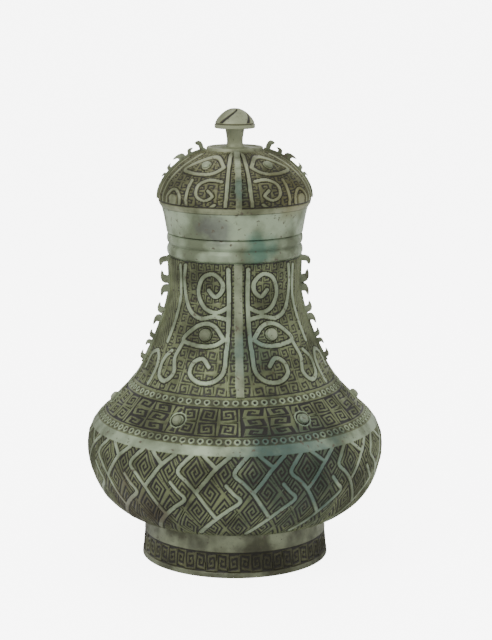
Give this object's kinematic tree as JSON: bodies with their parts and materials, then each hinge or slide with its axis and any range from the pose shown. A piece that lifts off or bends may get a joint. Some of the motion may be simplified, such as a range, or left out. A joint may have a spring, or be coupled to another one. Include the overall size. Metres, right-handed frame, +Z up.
{
  "type": "lidded hu wine jar",
  "caption": "Pear-shaped ritual bronze wine jar on a ring foot, with hooked side flanges and a domed lid that lifts off by a mushroom knob.",
  "frame": {"origin": "centre of the foot ring's underside", "axes": "+Z up along the jar's axis of revolution, -Y towards the front mask, hooked flanges at +X and -X"},
  "size_m": [0.241, 0.241, 0.3643],
  "materials": {
    "body_bronze": "patinated bronze, grey-green",
    "foot_bronze": "patinated bronze, dark",
    "lid_bronze": "patinated bronze, olive"
  },
  "bodies": {
    "vessel": {"vessel_body": "body_bronze", "foot_ring": "foot_bronze", "neck_flange_left": "body_bronze", "neck_flange_right": "body_bronze", "neck_ridge_front": "body_bronze", "neck_ridge_back": "body_bronze", "neck_eye_front_left": "body_bronze", "neck_eye_front_right": "body_bronze", "neck_eye_back_left": "body_bronze", "neck_eye_back_right": "body_bronze", "shoulder_boss_1": "body_bronze", "shoulder_boss_2": "body_bronze", "shoulder_boss_3": "body_bronze", "shoulder_boss_4": "body_bronze", "shoulder_boss_5": "body_bronze", "shoulder_boss_6": "body_bronze"},
    "lid": {"lid_shell": "lid_bronze", "lid_tongue": "lid_bronze", "lid_crown_disc": "lid_bronze", "knob_stem": "lid_bronze", "knob_cap": "lid_bronze", "lid_flange_left": "lid_bronze", "lid_flange_right": "lid_bronze", "lid_ridge_front": "lid_bronze", "lid_ridge_back": "lid_bronze", "lid_eye_front_left": "lid_bronze", "lid_eye_front_right": "lid_bronze", "lid_eye_back_left": "lid_bronze", "lid_eye_back_right": "lid_bronze"}
  },
  "joints": [
    {"name": "lid_lift", "type": "slide", "parent": "vessel", "child": "lid", "axis": [0, 0, 1], "range_m": [0, 0.12]}
  ]
}
